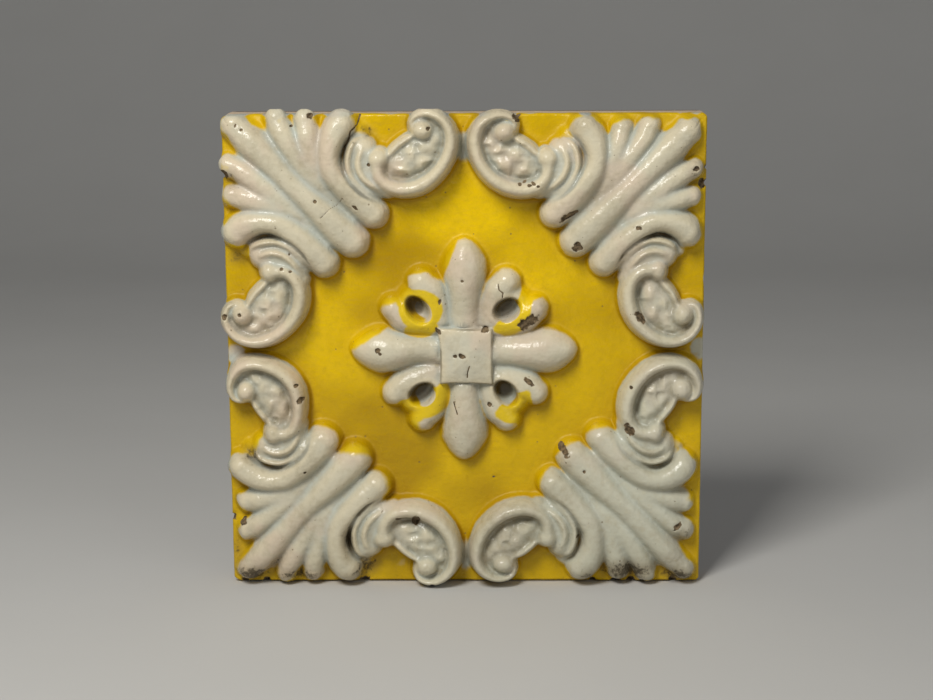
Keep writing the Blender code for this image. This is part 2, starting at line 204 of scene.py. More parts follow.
# The flower, from the tile's centre: distance along the petal, half width, height
PETAL = (
    (0.0, 6.0, 6.2),
    (7.0, 6.0, 6.2),
    (10.9, 5.9, 6.2),
    (14.0, 5.8, 6.6),
    (17.5, 6.2, 7.1),
    (21.0, 6.9, 7.4),
    (23.8, 7.3, 7.4),
    (26.6, 7.0, 7.0),
    (29.1, 5.7, 6.3),
    (31.1, 4.2, 5.2),
    (32.5, 2.7, 3.8),
    (33.3, 1.0, 2.2),
)
# Lobes beside each eyelet: distance along the petal, distance from it, half width, height
LOBE = (
    (9.0, 7.6, 4.6, 5.4),
    (14.0, 8.6, 5.0, 5.8),
    (17.6, 10.2, 5.3, 6.3),
    (20.3, 12.3, 4.7, 6.1),
)
# The web between each pair of lobes: distance along the petal, distance from it, radius, height
LOBE_WEB = (12.6, 11.8, 8.6, 5.2)
# Blind eyelets: the first one's place and turn, half sizes of its crest, half width and height of
# its collar, the share by which the collar is lower on the outer side, and the height of the floor
EYELET_PLACE = (12.5, 12.6)
EYELET_TURN = math.radians(34)
EYELET_CREST = (4.9, 3.4)
EYELET_COLLAR = (2.6, 5.8)
EYELET_OPEN = 0.3
EYELET_FLOOR = -1.5
# The boss: place, half sizes, lean, how far its sides draw in, heights, and the cut round it
BOSS_PLACE = (0.5, -1.2)
BOSS_HALF = (7.9, 8.4)
BOSS_LEAN = 0.052
BOSS_HOLLOW = 0.35
BOSS_EDGE_HEIGHT = 6.9
BOSS_PEAK = 8.4
BOSS_GROOVE = 0.8

# The pressed copies strayed from the drawing: the whole pattern's shift, then moves round places:
# x, z, reach, move in x, move in z
SHIFT = (-0.2, 1.1)
DRIFT = (
    (-11.0, 63.0, 26.0, -0.5, 0.7),
    (12.0, 63.0, 26.0, 0.6, 0.2),
    (-12.0, -66.0, 20.0, -0.5, -1.1),
    (13.0, -64.0, 20.0, 0.5, 0.0),
    (66.0, 2.0, 28.0, -0.6, 0.0),
    (-66.0, 66.0, 26.0, -0.8, 0.5),
    (66.0, 66.0, 26.0, -0.9, -1.4),
    (-66.0, -66.0, 26.0, 0.3, -0.8),
    (66.0, -66.0, 26.0, 0.3, -0.8),
    (-68.0, 10.0, 20.0, -0.5, 0.0),
    (-43.0, -18.0, 15.0, -1.6, 0.0),
    (-72.0, 49.0, 11.0, 0.9, 0.0),
    (38.0, 72.0, 20.0, 0.0, -1.7),
    (72.0, 36.0, 20.0, -1.6, 0.0),
    (72.0, -34.0, 20.0, -1.6, 0.0),
    (48.0, 72.0, 16.0, 0.0, -1.9),
    (72.0, 48.0, 16.0, -1.5, 0.0),
    (-72.0, -49.0, 17.0, 3.8, 0.0),
    (-45.0, -72.0, 18.0, 0.0, 0.7),
    (71.0, -52.0, 20.0, -3.2, 0.0),
    (46.0, -72.0, 20.0, 0.0, 0.9),
    (-13.0, 13.0, 12.0, -0.9, 0.0),
    (-13.0, 0.0, 9.0, 0.0, 0.8),
)

# Radii of the soft joins between forms, and of the join with the ground
SOFT_JOIN = 1.6
FIRM_JOIN = 0.5
SCROLL_JOIN = 0.7
CRISP_JOIN = 0.3
GROUND_JOIN = 1.3
# How full each kind of stroke is across, from a plain arc up to nearly square
PLAIN_ARC = 0.0
CRESCENT_FULLNESS = 0.1
PETAL_FULLNESS = 0.4
SCROLL_FULLNESS = 0.6
FAN_FULLNESS = 0.65
BED_FULLNESS = 0.8
# The height that stands for no form, the points on each span of a curve, and how many times the
# pressed forms are softened
BELOW = -20.0
SPLINE_STEPS = 12
GLAZE_PASSES = 6

# The relief may overhang the slab's sides where it is higher than this, by at most so much; the
# face's outer band is carried out with it, and tucks back to the side this far below the ground
OVERHANG_FOOT = 3.0
OVERHANG_LIMIT = 1.75
OVERHANG_BAND = 5.0
UNDERCUT = 2.5
# The finished piece stays this far inside the solid's own box
BOX_MARGIN = 0.06

# The hand-pressed clay strays this far from the drawing, in swells of this size
STRAY = 0.35
STRAY_SWELL = 13.0

# Lost glaze and clay: x, z, half length, half width, turn in degrees, depth
CHIPS = (
    (18.3, 9.9, 3.4, 1.8, 34, 0.9),
    (32.8, 32.1, 1.5, 1.4, 0, 0.7),
    (30.0, 41.1, 3.3, 0.9, 27, 0.8),
    (50.0, 37.8, 1.2, 0.8, 0, 0.5),
    (50.7, 11.8, 2.2, 1.1, -45, 0.7),
    (66.7, 54.3, 1.1, 0.8, 20, 0.7),
    (68.6, 49.8, 1.6, 1.3, 80, 1.0),
    (15.3, 68.3, 0.8, 0.6, 10, 0.6),
    (-25.4, 2.0, 0.9, 0.8, 50, 0.5),
    (-24.6, 0.9, 0.5, 0.4, 0, 0.4),
    (-0.9, 0.4, 1.3, 0.8, -25, 0.6),
    (-2.6, 0.3, 0.7, 0.5, 0, 0.5),
    (-7.6, 7.4, 1.1, 0.8, -50, 0.6),
    (5.9, 7.8, 1.2, 0.9, 20, 0.6),
    (7.3, -14.5, 0.8, 0.8, 0, 0.6),
    (18.7, -7.7, 1.6, 0.8, -40, 0.6),
    (-0.6, 22.3, 0.5, 0.4, 0, 0.4),
    (-7.2, 15.8, 0.9, 0.5, 80, 0.5),
    (-65.2, 67.2, 0.7, 0.4, 70, 0.4),
    (-63.6, 66.0, 0.6, 0.4, 10, 0.4),
    (-49.6, 66.9, 0.5, 0.5, 0, 0.4),
    (-42.7, 45.6, 0.5, 0.5, 0, 0.4),
    (-31.3, 43.8, 1.2, 0.5, -45, 0.5),
    (-27.2, 56.0, 0.6, 0.5, 0, 0.5),
    (-10.2, 66.3, 0.7, 0.6, 0, 0.6),
    (-68.8, 52.8, 1.2, 0.9, 80, 0.8),
    (-52.7, 26.1, 0.6, 0.5, 0, 0.5),
    (-50.3, 25.3, 0.5, 0.4, 0, 0.4),
    (-50.5, 30.2, 0.4, 0.4, 0, 0.4),
    (-65.1, 12.6, 0.6, 0.6, 0, 0.6),
    (33.2, -54.6, 0.7, 0.6, 0, 0.5),
    (48.0, -21.6, 2.2, 1.3, -60, 0.5),
    (48.4, -8.8, 0.5, 0.5, 0, 0.4),
    (62.8, -51.6, 1.5, 0.9, 30, 0.6),
    (29.1, -28.5, 2.0, 1.2, -50, 0.5),
    (35.0, -34.4, 0.5, 0.5, 0, 0.4),
    (-48.1, -12.7, 1.3, 1.0, 60, 0.6),
    (-49.1, -8.2, 0.7, 0.6, 0, 0.5),
    (-66.1, -50.5, 1.2, 0.9, 40, 0.6),
    (-47.1, -34.4, 0.6, 0.4, 30, 0.4),
    (-14.7, -49.2, 2.1, 1.5, 75, 0.7),
    (-19.9, -48.9, 0.9, 0.6, 0, 0.5),
    (8.4, -37.8, 0.5, 0.3, 0, 0.3),
    (16.0, 50.4, 0.6, 0.5, 0, 0.4),
    (17.4, 50.9, 0.7, 0.4, 20, 0.5),
    (18.7, 50.1, 0.6, 0.5, 0, 0.4),
    (20.0, 50.6, 0.8, 0.5, -20, 0.5),
    (21.2, 49.8, 0.5, 0.4, 0, 0.4),
)
# Cracks: the points they run through, width, depth
CRACKS = (
    (((-29.9, 69.8), (-30.6, 67.2), (-32.4, 65.4), (-33.2, 62.6), (-34.8, 60.1)), 0.24, 0.6),
    (((-41.3, 40.8), (-38.5, 43.4), (-36.8, 44.2), (-34.8, 46.4)), 0.1, 0.25),
    (((9.8, 21.2), (10.0, 19.6), (11.2, 18.6), (10.9, 17.2)), 0.2, 0.5),
    (((1.4, -2.6), (0.9, -4.2), (0.7, -6.1)), 0.2, 0.5),
    (((-3.3, -13.8), (-2.8, -15.4), (-2.2, -17.2)), 0.2, 0.5),
)
# Small bites along the tile's edges: x, z, radius, depth into the edge
EDGE_BITES = (
    (-69.7, 52.9, 1.4, 0.8),
    (69.8, 50.0, 1.2, 0.7),
    (69.8, 54.5, 0.8, 0.4),
    (45.0, -69.8, 1.6, 0.8),
    (49.5, -69.9, 1.4, 0.9),
    (53.0, -69.7, 1.1, 0.6),
    (38.0, -69.9, 1.0, 0.4),
    (-30.5, -69.8, 1.5, 0.7),
    (-60.0, -69.8, 1.2, 0.6),
    (-66.5, -69.6, 1.1, 0.6),
    (-10.0, -69.8, 1.0, 0.3),
    (62.0, -69.7, 1.2, 0.5),
    (-69.7, -50.0, 1.2, 0.5),
    (-69.8, 12.0, 1.0, 0.3),
    (-44.0, 69.8, 1.0, 0.3),
    (15.0, 69.7, 1.2, 0.5),
)

# How high the yellow climbs the relief, and the brush dabs that carried it higher or kept it off:
# x, z, half length, half width, turn in degrees, extra reach
PAINT_REACH = 2.2
PAINT_DABS = (
    (-6.6, 29.0, 5.6, 2.6, 68, 6.0),
    (-13.4, 26.6, 4.4, 2.2, 15, 4.6),
    (-20.8, 18.0, 4.6, 2.6, 40, 5.0),
    (-29.4, 6.6, 6.2, 3.0, 38, 5.4),
    (19.6, 18.6, 2.4, 3.4, -45, 5.0),
    (-16.6, -18.6, 5.4, 2.6, -45, 5.0),
    (15.4, -17.6, 4.4, 2.4, 45, 4.6),
    (-31.0, -25.6, 6.6, 5.0, 35, 6.0),
    (-24.5, -39.5, 3.4, 4.0, 0, 3.4),
    (-39.0, -19.6, 5.0, 2.8, 0, 3.2),
    (27.4, -24.8, 5.0, 4.0, 40, 4.2),
    (21.4, -36.4, 2.6, 5.0, 0, 3.2),
    (37.4, -20.4, 5.4, 2.6, 0, 3.0),
    (25.4, 31.4, 2.6, 4.0, 0, 3.0),
    (-66.4, 30.4, 4.0, 2.8, 0, 5.0),
    (-63.4, -23.8, 4.0, 5.0, 0, 4.5),
    (0.0, 61.0, 2.6, 4.2, 0, -4.5),
    (-68.6, 0.0, 2.6, 3.4, 0, -6.0),
    (68.8, 1.0, 2.4, 3.4, 0, -6.0),
    (0.6, -62.0, 2.4, 4.6, 0, -4.2),
    (62.6, 63.2, 5.2, 3.4, 45, -4.0),
    (-12.1, 13.0, 2.6, 2.0, -60, -12.0),
    (12.9, 13.0, 2.8, 2.0, 30, -12.0),
    (-11.7, -12.1, 2.6, 2.0, 30, -12.0),
    (12.8, -12.1, 2.4, 2.0, -60, -12.0),
)
# Yellow brushed round the eyelets in arcs: centre x and z, radius, half width, first and last
# direction in degrees, extra reach
PAINT_ARCS = (
    (-12.9, 13.6, 4.2, 2.1, -180, 180, 7.0),
    (-12.9, 12.6, 4.8, 2.2, -150, -20, 7.0),
    (12.0, 13.6, 5.4, 2.0, -140, 48, 7.0),
    (12.4, -12.0, 4.8, 2.4, -140, 35, 6.4),
    (-12.2, -11.6, 4.9, 2.3, -175, 45, 6.6),
)
# Dark stains: x, z, half length, half width, turn in degrees, strength
STAINS = (
    (48.0, -65.6, 8.0, 3.4, 0, 1.15),
    (-63.5, -66.6, 5.0, 2.8, 0, 1.2),
    (-50.0, -66.8, 8.0, 2.0, 0, 0.95),
    (-57.0, -63.0, 5.0, 1.6, 40, 0.7),
    (-31.0, -66.0, 4.4, 3.0, 0, 0.8),
    (-35.0, -56.0, 2.0, 6.0, 0, 0.7),
    (65.0, -54.0, 3.0, 3.0, 0, 0.6),
    (63.0, -67.0, 5.6, 2.6, 0, 1.1),
    (-32.0, 62.0, 3.0, 5.0, 0, 0.35),
    (66.5, 52.0, 2.5, 4.0, 0, 0.5),
    (-67.0, 51.0, 2.0, 4.0, 0, 0.5),
    (-12.0, 68.0, 5.0, 1.6, 0, 0.3),
    (-66.5, 28.5, 3.4, 2.0, 20, 0.7),
    (-27.8, 65.2, 3.0, 1.8, -30, 0.7),
    (-63.1, -29.5, 3.2, 2.4, 0, 0.8),
    (-29.5, -64.5, 3.6, 3.6, 0, 1.0),
    (36.0, -66.5, 2.4, 2.6, 0, 0.8),
    (-68.5, -60.0, 1.6, 5.0, 0, 0.6),
)
# Paler and browner yellow, the glaze's depth, with painted light in the paler patch below the top edge:
# x, z, radius, how much paler (browner where below 0)
YELLOW_PATCHES = (
    (-24.0, 28.0, 17.0, -0.35),
    (-24.0, -31.0, 19.0, -0.7),
    (4.0, -46.0, 16.0, -0.2),
    (24.0, 30.0, 20.0, 0.3),
    (0.0, 46.0, 18.0, 0.9),
    (-42.0, 2.0, 14.0, 0.35),
)

# Keying channels across the back: from one to the next, half width, depth, and how far in they end
KEYING = (18.0, 3.0, 0.9, 7.0)
# How far the tile's edges waver inwards
EDGE_WAVE = 0.06

# Cells along the face's grid, how many of them make one at the back, rows of cells in the tuck and
# down the sides, and the most triangles that the finished piece keeps
FACE_CELLS = 560
BACK_SHARE = 4
TUCK_ROWS = 5
SIDE_ROWS = 5
KEPT_TRIANGLES = 192000
# The coarser grid on which hollows are found, and how many times it is averaged
HOLLOW_CELLS = 280
HOLLOW_PASSES = 14

# Colours of the glazes, of the dirt on them, of the clay and of the floor
WHITE_ON_CRESTS = (0.66, 0.58, 0.41, 1)
# Greyer and darker in the hollows: glaze pooled there, and painted shade
WHITE_POOLED_AND_SHADED = (0.47, 0.49, 0.43, 1)
WHITE_ROSY = (0.64, 0.50, 0.38, 1)
WHITE_COOL = (0.52, 0.53, 0.43, 1)
WHITE_WORN = (0.47, 0.41, 0.27, 1)
YELLOW_DEEP = (0.42, 0.25, 0.0, 1)
# Pale where the glaze is thin, and where painted light lies
YELLOW_PALE = (0.80, 0.53, 0.0, 1)
YELLOW_MOTTLED = (0.46, 0.30, 0.0, 1)
# Browner at the relief's foot: pooled glaze, painted shade and painted shadow
YELLOW_POOLED_AND_SHADED = (0.30, 0.15, 0.0, 1)
YELLOW_ON_CRESTS = (0.88, 0.66, 0.03, 1)
# Film, and painted shade
FILM_AND_SHADE_BROWN = (0.24, 0.20, 0.12, 1)
# Painted shadow below and to the right of the relief
PAINTED_SHADOW_BROWN = (0.27, 0.20, 0.09, 1)
STAIN_HALO = (0.20, 0.13, 0.05, 1)
STAIN_DARK = (0.045, 0.034, 0.016, 1)
# Grime, and painted shade
GRIME_AND_SHADE_DARK = (0.07, 0.05, 0.02, 1)
PINHOLE_BROWN = (0.16, 0.11, 0.05, 1)
CHIP_DARK = (0.065, 0.045, 0.024, 1)
CHIP_PALE = (0.22, 0.155, 0.085, 1)
CLAY_DEEP = (0.50, 0.37, 0.25, 1)
CLAY_PALE = (0.60, 0.48, 0.35, 1)
CLAY_SOILED = (0.33, 0.27, 0.20, 1)
FLOOR_SHADES = ((0.52, 0.51, 0.49, 1), (0.55, 0.54, 0.52, 1))


def spline(stations):
    """Catmull-Rom curve through the stations; widths and heights level out at both ends."""
    points = np.array(stations, float)
    first = np.concatenate([2 * points[0, :2] - points[1, :2], points[1, 2:]])
    last = np.concatenate([2 * points[-1, :2] - points[-2, :2], points[-2, 2:]])
    run = np.vstack([first, points, last])
    t = np.linspace(0, 1, SPLINE_STEPS, endpoint=False)[:, None]
    pieces = []
    for a, b, c, d in zip(run[:-3], run[1:-2], run[2:-1], run[3:]):
        straight = 2 * b + (c - a) * t
        bend = (2 * a - 5 * b + 4 * c - d) * t**2 + (3 * b - a - 3 * c + d) * t**3
        pieces.append(0.5 * (straight + bend))
    pieces.append(points[-1:])
    return np.vstack(pieces)


def nearest_on(u, v, curve):
    """Distance to a run of straight pieces, and the curve's other columns read at that place."""
    nearest = np.full(u.shape, np.inf)
    carried = np.zeros((curve.shape[1] - 2,) + u.shape)
    for start, end in zip(curve[:-1], curve[1:]):
        way = end[:2] - start[:2]
        along = ((u - start[0]) * way[0] + (v - start[1]) * way[1]) / (way @ way)
        along = np.clip(along, 0, 1)
        gap = np.hypot(u - start[0] - along * way[0], v - start[1] - along * way[1])
        closer = gap < nearest
        nearest = np.where(closer, gap, nearest)
        for column in range(len(carried)):
            value = start[2 + column] + along * (end[2 + column] - start[2 + column])
            carried[column] = np.where(closer, value, carried[column])
    return nearest, carried


def dome(share, fullness):
    """Cross-section of a stroke: 1 at the crest, 0 at the foot, fuller as fullness grows."""
    return 1 - (1 - fullness) * share**2 - fullness * share**4


def stroke(u, v, stations, fullness):
    """Height of one rounded stroke: its crest height times the dome of distance over width."""
    curve = spline(stations)
    reach = curve[:, 2].max() * 1.4
    low = curve[:, :2].min(axis=0) - reach
    high = curve[:, :2].max(axis=0) + reach
    near = (u > low[0]) & (u < high[0]) & (v > low[1]) & (v < high[1])
    distance, (width, crest) = nearest_on(u[near], v[near], curve)
    height = np.full(u.shape, BELOW)
    height[near] = np.maximum(crest * dome(distance / width, fullness), BELOW)
    return height


def join(heights, radius):
    """The highest of several surfaces, with a fillet of about this radius in each valley."""
    result = heights[0]
    for other in heights[1:]:
        share = np.clip(0.5 + 0.5 * (result - other) / radius, 0, 1)
        result = other + (result - other) * share + radius * share * (1 - share)
    return result


def cloud(x, z, swell, seed):
    """Smooth noise from -1 to 1: random values on a lattice of this spacing, eased between.

    Each use has a seed of its own, so that no two follow each other.
    """
    lattice = np.random.default_rng(seed).uniform(-1, 1, (257, 257))
    gx = x / swell + 100.3
    gz = z / swell + 100.7
    ix, iz = np.floor(gx).astype(int), np.floor(gz).astype(int)
    fx, fz = gx - ix, gz - iz
    fx, fz = fx * fx * (3 - 2 * fx), fz * fz * (3 - 2 * fz)
    ix, iz = ix % 256, iz % 256
    low = lattice[ix, iz] * (1 - fx) + lattice[ix + 1, iz] * fx
    high = lattice[ix, iz + 1] * (1 - fx) + lattice[ix + 1, iz + 1] * fx
    return low * (1 - fz) + high * fz


def eased(value, low, high):
    """0 below low, 1 above high, and a smooth step between."""
    share = np.clip((value - low) / (high - low), 0, 1)
    return share * share * (3 - 2 * share)


def oval(x, z, centre_x, centre_z, half_length, half_width, turn):
    """Distance from an oval's middle as a share of its radius: 0 in the middle, 1 on its rim."""
    cos, sin = math.cos(math.radians(turn)), math.sin(math.radians(turn))
    along = (x - centre_x) * cos + (z - centre_z) * sin
    across = (z - centre_z) * cos - (x - centre_x) * sin
    return np.hypot(along / half_length, across / half_width)


def inset_of(x, z):
    """Distance in from the tile's nearest side."""
    return HALF_SIDE - np.maximum(np.abs(x), np.abs(z))


def from_corner(drawn_x, drawn_z):
    """The drawing's own measures: distance along the edge from the corner, and in from the edge."""
    return HALF_SIDE - np.minimum(np.abs(drawn_x), np.abs(drawn_z)), inset_of(drawn_x, drawn_z)


def fan(u, v):
    """Rib, leaf and fingers on one bed that rises from the tile's edge."""
    rising = BED_HEIGHT * eased(v, *BED_RISE)
    outer_bed = np.where((u < BED_LIMITS[0]) & (v < BED_LIMITS[1]), rising, BELOW)
    beds = [stroke(u, v, form, BED_FULLNESS) for form in (FAN_BED, SCROLL_HEAD)] + [outer_bed]
    forms = (FINGER_BY_RIB, FINGER_BY_LEAF, LEAF_FLANK, RIB, LEAF)
    return join(beds + [stroke(u, v, form, FAN_FULLNESS) for form in forms], SOFT_JOIN)


def scroll(u, v, crumple):
    """The C-scroll: rim, bead and ball round a shallow crumpled shell, with fine crescents."""
    shell = stroke(u, v, SHELL, BED_FULLNESS)
    shell = np.where(shell > 0, shell + SHELL_CRUMPLE * crumple, shell)
    for place_u, place_v, radius, rise in SHELL_LUMPS:
        share = np.clip(np.hypot(u - place_u, v - place_v) / radius, 0, 1)
        shell = np.where(shell > 0, shell + rise * (1 - share**2) ** 2, shell)
    broad_forms = (SCROLL_RIM, VOLUTE_BALL, SCROLL_BEAD)
    fine_forms = (OUTER_CRESCENT, INNER_CRESCENT, SHELL_LIP)
    broad = [stroke(u, v, form, SCROLL_FULLNESS) for form in broad_forms]
    fine = [stroke(u, v, form, CRESCENT_FULLNESS) for form in fine_forms]
    return join([shell] + broad + fine, SCROLL_JOIN)


def petal(along, across):
    """A petal: domed across, its half width and height read along its length."""
    curve = spline([(s, 0.0, w, h) for s, w, h in PETAL])
    width = np.interp(along, curve[:, 0], curve[:, 2])
    crest = np.interp(along, curve[:, 0], curve[:, 3])
    height = crest * dome(across / width, PETAL_FULLNESS)
    return np.where(along < PETAL[-1][0], np.maximum(height, BELOW), BELOW)


def boss_rim(x, z):
    """Distance out from the rim of the boss, a leaning square with drawn-in sides."""
    z = z - BOSS_PLACE[1]
    x = x - BOSS_PLACE[0] + BOSS_LEAN * z
    half_x, half_z = BOSS_HALF
    out_x = np.abs(x) - half_x + BOSS_HOLLOW * np.clip(1 - (z / half_z) ** 2, 0, 1)
    out_z = np.abs(z) - half_z + BOSS_HOLLOW * np.clip(1 - (x / half_x) ** 2, 0, 1)
    return join([out_x, out_z], 0.6)


def boss(x, z):
    """The boss, a low pyramid inside its rim, and the cut round it."""
    out = boss_rim(x, z)
    peak = BOSS_EDGE_HEIGHT - (BOSS_PEAK - BOSS_EDGE_HEIGHT) * out / BOSS_HALF[0]
    worn = -0.5 * np.clip(1 + out / 0.7, 0, 1) ** 2
    height = np.where(out < 0, peak + worn, BOSS_EDGE_HEIGHT - 0.5 - 12 * out)
    cut = BOSS_EDGE_HEIGHT - 1.5 + 3 * np.abs(out - BOSS_GROOVE / 2)
    return np.maximum(height, BELOW), np.where(out < 2 * BOSS_GROOVE, cut, np.inf)


def eyelets(x, z):
    """The four blind eyelets, each turned a quarter from the last: collars, and pits to cut."""
    collar = np.full(x.shape, BELOW)
    pit = np.full(x.shape, np.inf)
    cos, sin = math.cos(EYELET_TURN), math.sin(EYELET_TURN)
    for _ in range(4):
        out = (x - EYELET_PLACE[0]) * cos + (z - EYELET_PLACE[1]) * sin
        aside = (z - EYELET_PLACE[1]) * cos - (x - EYELET_PLACE[0]) * sin
        ring = np.hypot(out / EYELET_CREST[0], aside / EYELET_CREST[1])
        from_crest = (ring - 1) * sum(EYELET_CREST) / 2
        outer_side = eased(x + z, 2 * EYELET_PLACE[0] + 1, 2 * EYELET_PLACE[0] + 7)
        crest = EYELET_COLLAR[1] * (1 - EYELET_OPEN * outer_side)
        collar = np.maximum(collar, crest * dome(from_crest / EYELET_COLLAR[0], PLAIN_ARC))
        inside = EYELET_FLOOR + (ring / 0.82) ** 4 * EYELET_COLLAR[1]
        pit = np.where(ring < 1, np.minimum(pit, inside), pit)
        x, z = z, -x
    return np.maximum(collar, BELOW), pit


def flower(x, z):
    """Petals, lobes and eyelets, without the boss."""
    along = np.maximum(np.abs(x), np.abs(z))
    across = np.minimum(np.abs(x), np.abs(z))
    web_u, web_v, web_radius, web_height = LOBE_WEB
    web_share = np.hypot(along - web_u, across - web_v) / web_radius
    web = np.maximum(web_height * (1 - web_share**4), BELOW)
    collar, pit = eyelets(x, z)
    pads = join([stroke(along, across, LOBE, SCROLL_FULLNESS), collar, web], SOFT_JOIN)
    return np.minimum(join([petal(along, across), pads], FIRM_JOIN), pit)


def drawn_place(x, z):
    """The place in the regular drawing that was pressed at this place of the tile."""
    shift_x = SHIFT[0] + STRAY * cloud(x, z, STRAY_SWELL, 3)
    shift_z = SHIFT[1] + STRAY * cloud(x, z, STRAY_SWELL, 4)
    for place_x, place_z, reach, move_x, move_z in DRIFT:
        share = np.clip(1 - ((x - place_x) ** 2 + (z - place_z) ** 2) / reach**2, 0, 1) ** 2
        shift_x = shift_x + move_x * share
        shift_z = shift_z + move_z * share
    return x - shift_x, z - shift_z


def pressed(x, z):
    """Height of the moulded forms above the ground, all but the boss."""
    drawn_x, drawn_z = drawn_place(x, z)
    u, v = from_corner(drawn_x, drawn_z)
    crumple = 1 - 3 * np.sqrt(0.02 + cloud(x, z, SHELL_CRUMPLE_SWELL, 5) ** 2)
    corner = join([fan(u, v), scroll(u, v, crumple)], CRISP_JOIN)
    corner = corner - np.maximum(stroke(u, v, FOLD, PLAIN_ARC), 0)
    height = join([np.zeros(x.shape), corner], GROUND_JOIN)
    return join([height, flower(drawn_x, drawn_z)], GROUND_JOIN)


def with_boss(height, x, z):
    """Cuts the groove round the boss into the forms and sets the boss in it."""
    block, cut = boss(*drawn_place(x, z))
    return join([np.minimum(height, cut), block], CRISP_JOIN / 2)


def relief(x, z):
    """Height of the whole modelled face above its ground, before any damage."""
    return with_boss(pressed(x, z), x, z)


def softened(height, passes):
    """A grid of heights as thick glaze leaves it: each pass takes a quarter from each neighbour."""
    for _ in range(passes):
        for axis in (0, 1):
            ends = [(1, 1) if axis == side else (0, 0) for side in (0, 1)]
            padded = np.pad(height, ends, mode="edge")
            before = padded[:-2] if axis == 0 else padded[:, :-2]
            after = padded[2:] if axis == 0 else padded[:, 2:]
            height = (before + 2 * height + after) / 4
    return height


def damage(x, z):
    """Chips and cracks: a field that is above 0 where the clay is bare, and the depth lost."""
    ragged = 0.28 * cloud(x, z, 0.9, 11) + 0.16 * cloud(x, z, 0.4, 12)
    bare = np.full(x.shape, -1.0)
    lost = np.zeros(x.shape)
    for centre_x, centre_z, half_length, half_width, turn, depth in CHIPS:
        field = 1 - oval(x, z, centre_x, centre_z, half_length, half_width, turn) + ragged
        bare = np.maximum(bare, field)
        lost = np.maximum(lost, depth * np.clip(field / 0.35, 0, 1))
    for points, width, depth in CRACKS:
        distance, _ = nearest_on(x, z, np.array(points, float))
        field = 1 - distance / width + ragged
        bare = np.maximum(bare, field)
        lost = np.maximum(lost, depth * np.clip(field, 0, 1))
    for centre_x, centre_z, radius, _ in EDGE_BITES:
        field = 1 - np.hypot(x - centre_x, z - centre_z) / radius + ragged
        bare = np.maximum(bare, field)
        lost = np.maximum(lost, 0.8 * np.clip(field / 0.5, 0, 1))
    return bare, lost


def paint_field(x, z, height):
    """Above 0 where the yellow lies: its reach up the relief, with the dabs, less the height.

    It reaches higher near the tile's sides, where it is also more broken, and stays off the shells.
    """
    reach = PAINT_REACH + 0.7 * cloud(x, z, 6.0, 21) + 0.35 * cloud(x, z, 2.0, 22)
    inset = inset_of(x, z)
    reach = reach + 2.6 * np.clip(1 - inset / 8, 0, 1)
    reach = reach + 1.9 * (cloud(x, z, 2.6, 24) - 0.3) * np.clip(2 - inset / 5, 0, 1)
    _, _, shell = folds_of(x, z)
    reach = reach - 3 * shell
    for centre_x, centre_z, half_length, half_width, turn, extra in PAINT_DABS:
        share = oval(x, z, centre_x, centre_z, half_length, half_width, turn)
        reach = reach + extra * np.clip(1.5 - share, 0, 1)
    brushed = np.zeros(x.shape)
    for centre_x, centre_z, radius, half_width, first, last, extra in PAINT_ARCS:
        share = np.abs(np.hypot(x - centre_x, z - centre_z) - radius) / half_width
        turn = np.degrees(np.arctan2(z - centre_z, x - centre_x))
        turn = np.where(turn > last + (first + 360 - last) / 2, turn - 360, turn)
        ends = np.clip((turn - first) / 24, 0, 1) * np.clip((last - turn) / 24, 0, 1)
        ends = np.ones(x.shape) if last - first >= 360 else ends
        brushed = np.maximum(brushed, extra * np.clip(1.5 - share, 0, 1) * ends)
    bare_arris = 4 * np.clip(0.7 - inset / 0.5 + 0.7 * cloud(x, z, 4.0, 23), 0, 1)
    return reach + brushed - height - bare_arris


def folds_of(x, z):
    """The nearest copy's cut under its leaf, in millimetres, how dark it is with dirt and painted
    shade, and its shell's place.
    """
    drawn_x, drawn_z = drawn_place(x, z)
    u, v = from_corner(drawn_x, drawn_z)
    dirt_and_shade = np.zeros(x.shape)
    for (side_x, side_z, upright), strength in FOLD_DIRT_AND_SHADE.items():
        here = (side_x * x > 0) & (side_z * z > 0) & ((np.abs(drawn_x) > np.abs(drawn_z)) == upright)
        dirt_and_shade[here] = strength
    shell = np.clip(stroke(u, v, SHELL, BED_FULLNESS) / 5, 0, 1)
    return np.maximum(stroke(u, v, FOLD, PLAIN_ARC), 0), dirt_and_shade, shell


def stain_field(x, z):
    """Broken dark stains by the edges, from 0 to about 1."""
    stain = np.zeros(x.shape)
    for centre_x, centre_z, half_length, half_width, turn, strength in STAINS:
        share = oval(x, z, centre_x, centre_z, half_length, half_width, turn)
        stain = np.maximum(stain, strength * np.clip(1.4 - share, 0, 1))
    return stain


def grime_and_shade_field(x, z):
    """Dark grime and painted shade, from 0 to 1: dirt and painted shade in the folds, painted shadow in
    the upper left of each eyelet, a line round the boss.
    """
    cut, dirt_and_shade, _ = folds_of(x, z)
    # Dirt, and painted shade in the crevice of each fold
    grime_and_shade = dirt_and_shade * eased(cut, 0.25, 0.75) * np.clip(0.9 + 0.5 * cloud(x, z, 2.5, 53), 0, 1)
    # Painted shadow inside the upper left of each eyelet's pit
    _, pit = eyelets(*drawn_place(x + 1.1, z - 1.1))
    grime_and_shade = np.maximum(grime_and_shade, 0.95 * np.clip((3.0 - pit) / 3.5, 0, 1))
    # A dark line at the boss's edge, part wear and part painted shade
    rim = boss_rim(*drawn_place(x, z))
    line = np.clip(1.3 - np.abs(rim + 0.1) / 0.28, 0, 1) * np.clip(0.6 + cloud(x, z, 3.0, 54), 0, 1)
    return np.maximum(grime_and_shade, 0.7 * line)


